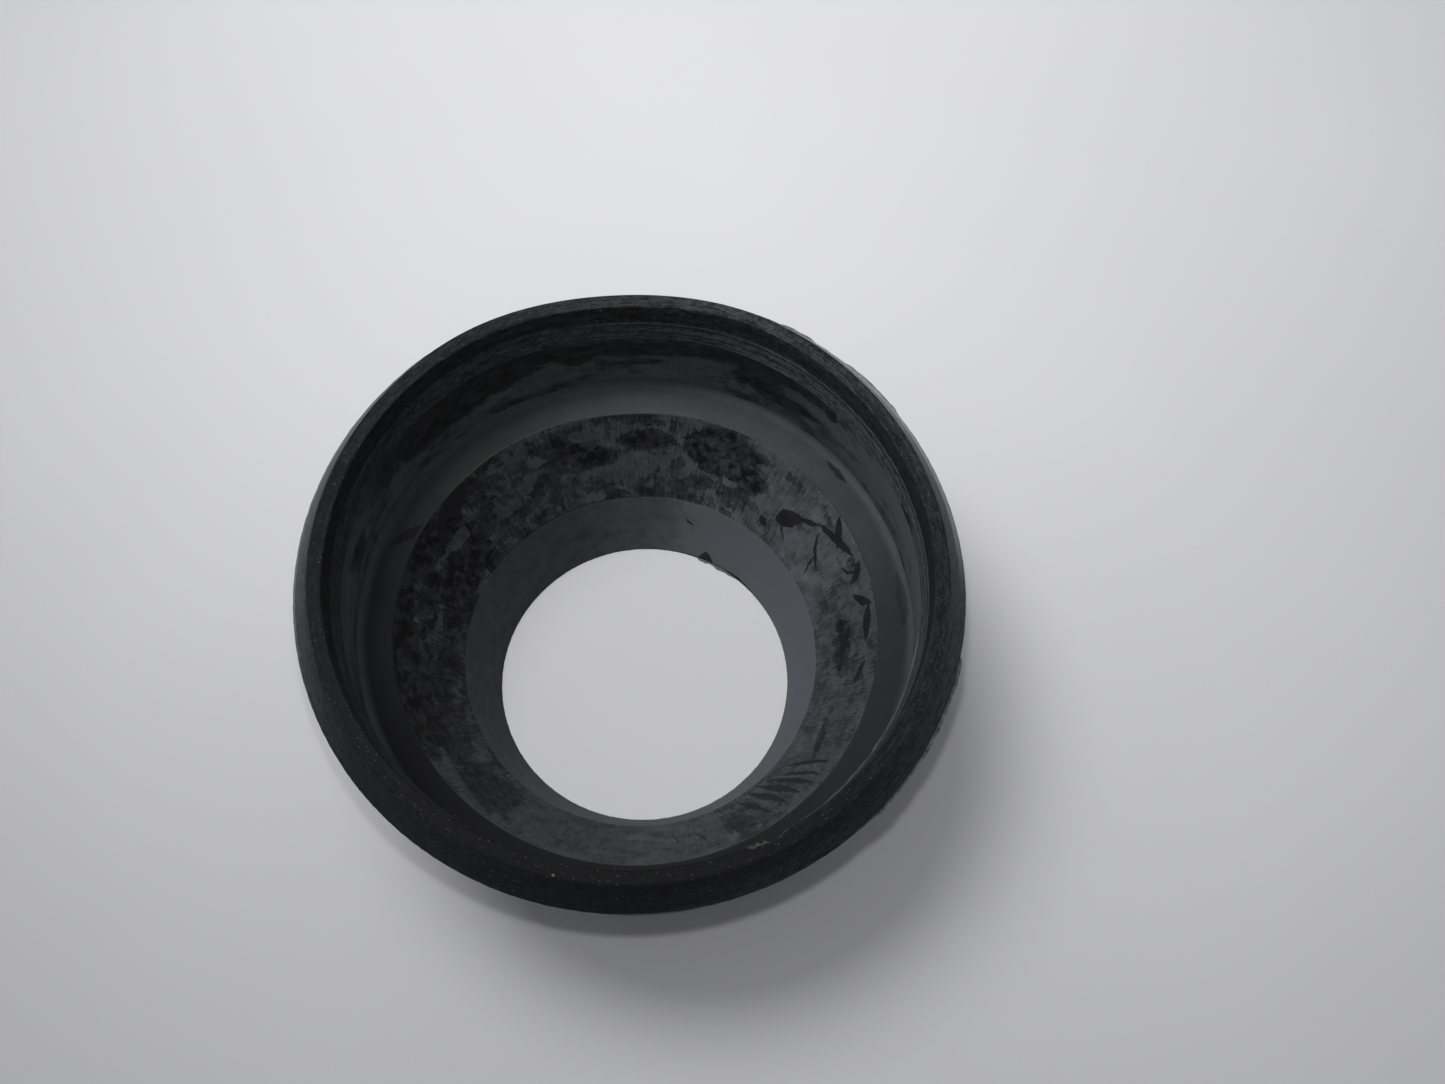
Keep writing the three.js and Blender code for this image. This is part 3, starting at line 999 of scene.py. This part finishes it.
def rim_rubber():
    """The land on top, and the step and bevel inside the mouth."""
    lines = [(AT[LAND_INNER], 0.1, 0.4, 0.22, DUST_AND_HIGHLIGHT, 327, 34), (AT[LIP], 0.12, 0.3, 0.3, DUST_AND_HIGHLIGHT, 322, 42)]
    for below, half, strength, paint in RING_LINES:
        lines.append((AT[STEP] + below * MM, half, 0.35, strength, paint, 45, 75))
    crumbs = [(260, 3.4, 0.12, RUST), (99, 1.6, 0.3, DUST_AND_HIGHLIGHT)]
    return rubber("rim_rubber", RIM_WEAR, crumbs=crumbs, lines=lines, **RIM_FINISH)


FINISHED_TO = [(PARTING, outer_skin()), (LAND_OUTER, rim_edge()), (LIP, rim_rubber())]
print("outside and rim:", [finish.name for end, finish in FINISHED_TO])

# %% [markdown]
# ## The wall, the ledge, the seat and the throat
# Inside, the film is whole and soft on the wall and the ledge, and thick in the throat, where nothing rubs;
# how pale it is on the wall and in the throat is partly painted light and shade. The seat is the most worn. A
# thin yellowish line follows part of the seat's top edge, where grease dried, and the throat's torn lower
# edge is bare near its flash. A dark line all round the throat's lower edge is painted shade.

# %% Finishes of the inside
def wall_bloom():
    return rubber("wall_bloom", film_wear(1.5, 0.1, 0.2, 0.45, 0.6, 0.2, (4.0, 2.8), (0.7, 5.0)),
                  seed=200.0, lines=[(AT[LIP], 0.25, 0.2, 0.7, BLACK, 90, 75)])


def ledge_bloom():
    return rubber("ledge_bloom", film_wear(0.5, 0.0, 0.06, 0.2, 0.3, 0.1, (3.0, 2.0), (4.0, 0.5)),
                  seed=300.0, chipped="ledge",
                  lines=[(AT[SEAT_TOP], 0.18, 0.1, 0.8, WAX, 117, 38),
                         (AT[SEAT_TOP], 0.12, 0.4, 0.7, BLACK, 10, 50)])


def seat_bloom():
    return rubber("seat_bloom", film_wear(1.1, 0.36, 0.13, 0.62, 1.2, 0.7, (3.0, 2.4), (0.32, 2.6)),
                  seed=400.0, chipped="seat",
                  lines=[(AT[SEAT_TOP], 0.2, 0.4, 0.8, BLACK, 10, 50),
                         (AT[SEAT_BOTTOM], 0.14, 0.1, 0.7, BLACK, 117, 32)])


# The dark line all round the throat's lower edge is painted shade; near the flash the edge is bare rubber.
def throat_bloom():
    return rubber("throat_bloom", film_wear(0.8, 0.05, 0.08, 0.3, 0.6, 0.2, (3.5, 2.0), (1.2, 1.6)),
                  seed=500.0, chipped="throat",
                  lines=[(AT[THROAT_EDGE], 0.45, 0.25, 0.95, BLACK, 58, 24),
                         (AT[THROAT_EDGE], 0.22, 0.6, 0.7, BLACK, 0, 200)])


FINISHED_TO += [(WALL_FOOT, wall_bloom()), (SEAT_TOP, ledge_bloom()), (SEAT_BOTTOM, seat_bloom()),
                (THROAT_EDGE, throat_bloom())]
for end, finish in FINISHED_TO:
    ring.data.materials.append(finish)
    print(f"{finish.name}: {len(finish.node_tree.nodes)} nodes")

# %% Give each face its finish and smooth the shading
CREASE = 35                              # degrees; sharper corners than this stay crisp


def finish_of(face):
    """The index of the finish that the face's middle lies in. At the closing corner that is the first."""
    spots = [stations[i] for i in face.vertices]
    if max(spots) - min(spots) > AT[1]:             # it joins the outline's end to its start
        return 0
    middle = sum(spots) / len(spots)
    return next(i for i, (end, finish) in enumerate(FINISHED_TO) if middle <= AT[end] + CUT_TOLERANCE)


for face in mesh.polygons:
    face.material_index = finish_of(face)
deselect_all()
ring.select_set(True)
bpy.context.view_layer.objects.active = ring
bpy.ops.object.shade_smooth_by_angle(angle=radians(CREASE))
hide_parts("rubber_adapter")
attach(ring, "root")
print(f"{len(mesh.polygons) * 2} triangles")

# %% [markdown]
# ## The floor
# The ring stands on a pale table top. A large plane would do, but a little tone and grain in its colour keep
# it from looking like an empty page.

# %% Floor
FLOOR_SIZE = 4
TABLE_TONES = ((0.585, 0.585, 0.60, 1), (0.635, 0.635, 0.648, 1))

deselect_all()
bpy.ops.mesh.primitive_plane_add(size=FLOOR_SIZE, location=(0, 0, LOW.z))
floor = bpy.context.object
floor.name = floor.data.name = "floor"
bpy.ops.object.transform_apply(location=True, rotation=True, scale=True)
floor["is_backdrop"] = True

table = bpy.data.materials.new("table_top")
table.use_nodes = True
tree = table.node_tree
where = add(tree, "ShaderNodeTexCoord").outputs["Object"]
tone = add(tree, "ShaderNodeTexNoise", {"Vector": where, "Scale": 14.0, "Detail": 3.0}).outputs["Fac"]
shader = tree.nodes["Principled BSDF"]
tree.links.new(lay_over(tree, tone, *TABLE_TONES), shader.inputs["Base Color"])
shader.inputs["Roughness"].default_value = 0.55
shader.inputs["Specular IOR Level"].default_value = 0.2
floor.data.materials.append(table)
print(f"floor {floor.dimensions.x:.0f} m across, at height {LOW.z / MM:.1f} mm")

# %% [markdown]
# ## Light
# Soft daylight comes from the far left, the room's pale walls fill the rest, and a small lamp near the
# camera draws one crisp edge of shadow under the near rim. The world is a gradient, because the near side,
# where the person with the camera stands, is darker than the far side.

# %% World gradient
NEAR_SHADE, FAR_SHADE = (0.11, 0.112, 0.116, 1), (0.47, 0.472, 0.48, 1)
TO_THE_BACK, TO_THE_RIGHT = 0.75, 0.35   # how much each direction counts towards near and far

world = bpy.data.worlds.new("studio")
bpy.context.scene.world = world
world.use_nodes = True
sky = world.node_tree
facing = add(sky, "ShaderNodeSeparateXYZ", {0: add(sky, "ShaderNodeTexCoord").outputs["Generated"]}).outputs
backward = maths(sky, "MULTIPLY", facing["Y"], TO_THE_BACK)
rightward = maths(sky, "MULTIPLY", facing["X"], TO_THE_RIGHT)
farness = climb(sky, maths(sky, "SUBTRACT", backward, rightward), -0.7, 0.7)
sky.links.new(lay_over(sky, farness, NEAR_SHADE, FAR_SHADE), sky.nodes["Background"].inputs["Color"])
print(f"the world goes from {NEAR_SHADE[0]} at the near right to {FAR_SHADE[0]} at the far left")

# %% Daylight
MIDDLE = (0, 0, TOP / 2)


def area_lamp(name, place, target, size, power, spread_angle=180):
    lamp = bpy.data.lights.new(name, "AREA")
    lamp.spread = radians(spread_angle)
    lamp.shape = "DISK"
    lamp.size = size
    lamp.energy = power
    thing = bpy.data.objects.new(name, lamp)
    thing.location = place
    thing.rotation_euler = (Vector(target) - Vector(place)).to_track_quat("-Z", "Y").to_euler()
    bpy.context.collection.objects.link(thing)
    print(f"{name}: {size / MM:.0f} mm across, {power} W")


area_lamp("daylight", (-0.13, 0.12, 0.52), (0.03, 0.17, 0), 0.28, 0.47, spread_angle=68)

# %% [markdown]
# ## Camera
# The camera looks down at 66 degrees from just beyond the near rim. Everything about it is measured in rim
# radii from the parting edge, so it would follow the ring if the ring were resized.

# %% Camera and its small lamp
CAMERA_PLACE = (0.27 * RIM_RADIUS, -1.84 * RIM_RADIUS, corners[PARTING][1] + 4.43 * RIM_RADIUS)
LOOK_DOWN, ROLL = 66.1, 1.57
LENS, SENSOR = 39.86, 36.0

lens = bpy.data.cameras.new("camera")
lens.lens = LENS
lens.sensor_width = SENSOR
camera = bpy.data.objects.new("camera", lens)
camera.location = CAMERA_PLACE
camera.rotation_mode = "ZYX"
camera.rotation_euler = (radians(90 - LOOK_DOWN), 0, radians(ROLL))
bpy.context.collection.objects.link(camera)
bpy.context.scene.camera = camera

lamp_place = (0.22 * RIM_RADIUS, -1.5 * RIM_RADIUS, CAMERA_PLACE[2])
area_lamp("camera_lamp", lamp_place, MIDDLE, 0.006, 0.1)
bpy.context.scene.view_settings.view_transform = "Standard"
print("camera at", [round(v / MM, 1) for v in CAMERA_PLACE])

# %% Print both boxes and finish
VISUAL_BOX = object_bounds()
boxes = [[[float(v) for v in corner] for corner in box] for box in (CAD_BOX, VISUAL_BOX)]
for title, (low, high) in zip(("CAD", "visual"), boxes):
    print(title, "box in mm:", [round((b - a) / MM, 1) for a, b in zip(low, high)])
